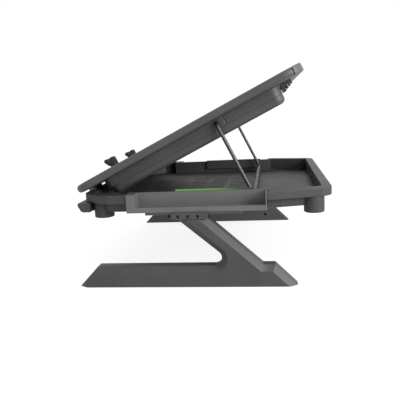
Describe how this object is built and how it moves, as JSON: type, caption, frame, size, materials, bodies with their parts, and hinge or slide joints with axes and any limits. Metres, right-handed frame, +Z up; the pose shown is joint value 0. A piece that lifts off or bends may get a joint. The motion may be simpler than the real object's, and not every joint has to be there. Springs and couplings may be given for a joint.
{
  "type": "laptop cooling pad",
  "caption": "Laptop cooling pad: a tilting fan panel with a wire prop and flip-up stops, over a shallow base tray raised on two Z-shaped legs.",
  "frame": {"origin": "on the desk, below the middle of the pad's outline", "axes": "+X to the user's right, along the width; -Y towards the user, where the panel's hinge is; +Z up"},
  "size_m": [0.38, 0.304, 0.2516],
  "materials": {
    "base_plastic": "fine satin grain",
    "panel_plastic": "fine satin grain",
    "bay_plastic": "smooth satin",
    "leg_plastic": "fine satin grain",
    "cap_plastic": "satin",
    "rubber": "matte",
    "stop_rubber": "ribbed matte",
    "steel_wire": "dark nickel",
    "pin_steel": "plain",
    "screw_steel": "black oxide",
    "mesh_metal": "black powder coat",
    "fan_plastic": "smooth",
    "board_green": "solder mask",
    "light_diffuser": "lit green diffuser",
    "ring_diffuser": "milky green diffuser, dimly lit"
  },
  "bodies": {
    "base": {"base_tray": "base_plastic", "base_bottom_cover": "base_plastic", "side_bay_right": "bay_plastic", "side_bay_left": "bay_plastic", "base_foot_front_right": "rubber", "base_foot_front_left": "rubber", "base_foot_rear_right": "rubber", "base_foot_rear_left": "rubber", "mount_rail_right": "leg_plastic", "mount_rail_left": "leg_plastic", "rail_screws_right": "screw_steel", "rail_screws_left": "screw_steel", "stand_leg_right": "leg_plastic", "stand_leg_left": "leg_plastic", "leg_screws_right": "screw_steel", "leg_screws_left": "screw_steel", "control_housing": "base_plastic", "control_board": "board_green", "power_port": "base_plastic", "light_bar_right": "light_diffuser", "light_bar_left": "light_diffuser", "prop_rack_right": "base_plastic", "prop_rack_left": "base_plastic", "hinge_block_right": "base_plastic", "hinge_block_left": "base_plastic", "hinge_pin_right": "pin_steel", "hinge_pin_left": "pin_steel"},
    "panel": {"panel_frame": "panel_plastic", "corner_cap_right": "cap_plastic", "corner_cap_left": "cap_plastic", "panel_mesh": "mesh_metal", "panel_housing": "panel_plastic", "panel_bottom_cover": "panel_plastic", "fan_frame_left": "fan_plastic", "fan_frame_middle": "fan_plastic", "fan_frame_right": "fan_plastic", "fan_light_ring_left": "ring_diffuser", "fan_light_ring_middle": "ring_diffuser", "fan_light_ring_right": "ring_diffuser", "fan_screws": "screw_steel", "prop_bush_right": "panel_plastic", "prop_bush_left": "panel_plastic", "stop_pin_right": "pin_steel", "stop_pin_left": "pin_steel", "rear_bumper_right": "rubber", "rear_bumper_left": "rubber"},
    "prop": {"prop_bail": "steel_wire"},
    "stop_right": {"laptop_stop_right": "stop_rubber"},
    "stop_left": {"laptop_stop_left": "stop_rubber"},
    "rotor_left": {"fan_rotor_left": "fan_plastic"},
    "rotor_middle": {"fan_rotor_middle": "fan_plastic"},
    "rotor_right": {"fan_rotor_right": "fan_plastic"},
    "slower_button": {"slower_button": "base_plastic"},
    "faster_button": {"faster_button": "base_plastic"},
    "light_button": {"light_button": "base_plastic"}
  },
  "joints": [
    {"name": "panel_tilt", "type": "hinge", "parent": "base", "child": "panel", "pos_m": [0, -0.144, 0.112], "axis": [1, 0, 0], "range_deg": [-26, 0]},
    {"name": "prop_swing", "type": "hinge", "parent": "panel", "child": "prop", "pos_m": [0, 0.01897, 0.18848], "axis": [1, 0, 0], "range_deg": [-0.5, 86.5]},
    {"name": "stop_flip_right", "type": "hinge", "parent": "panel", "child": "stop_right", "pos_m": [0.055, -0.13089, 0.12618], "axis": [1, 0, 0], "range_deg": [-85, 0]},
    {"name": "stop_flip_left", "type": "hinge", "parent": "panel", "child": "stop_left", "pos_m": [-0.055, -0.13089, 0.12618], "axis": [1, 0, 0], "range_deg": [-85, 0]},
    {"name": "fan_spin_left", "type": "hinge", "parent": "panel", "child": "rotor_left", "pos_m": [-0.094, -0.0048, 0.16877], "axis": [0, -0.4384, 0.8988], "continuous": true},
    {"name": "fan_spin_middle", "type": "hinge", "parent": "panel", "child": "rotor_middle", "pos_m": [0, -0.0048, 0.16877], "axis": [0, -0.4384, 0.8988], "continuous": true},
    {"name": "fan_spin_right", "type": "hinge", "parent": "panel", "child": "rotor_right", "pos_m": [0.094, -0.0048, 0.16877], "axis": [0, -0.4384, 0.8988], "continuous": true},
    {"name": "slower_press", "type": "slide", "parent": "base", "child": "slower_button", "axis": [0, 1, 0], "range_m": [0, 0.001], "stiffness_N_per_m": 400},
    {"name": "faster_press", "type": "slide", "parent": "base", "child": "faster_button", "axis": [0, 1, 0], "range_m": [0, 0.001], "stiffness_N_per_m": 400},
    {"name": "light_press", "type": "slide", "parent": "base", "child": "light_button", "axis": [0, 1, 0], "range_m": [0, 0.001], "stiffness_N_per_m": 400}
  ],
  "couplings": [
    {"joint": "prop_swing", "follows": "panel_tilt", "ratio": -3.2961}
  ]
}
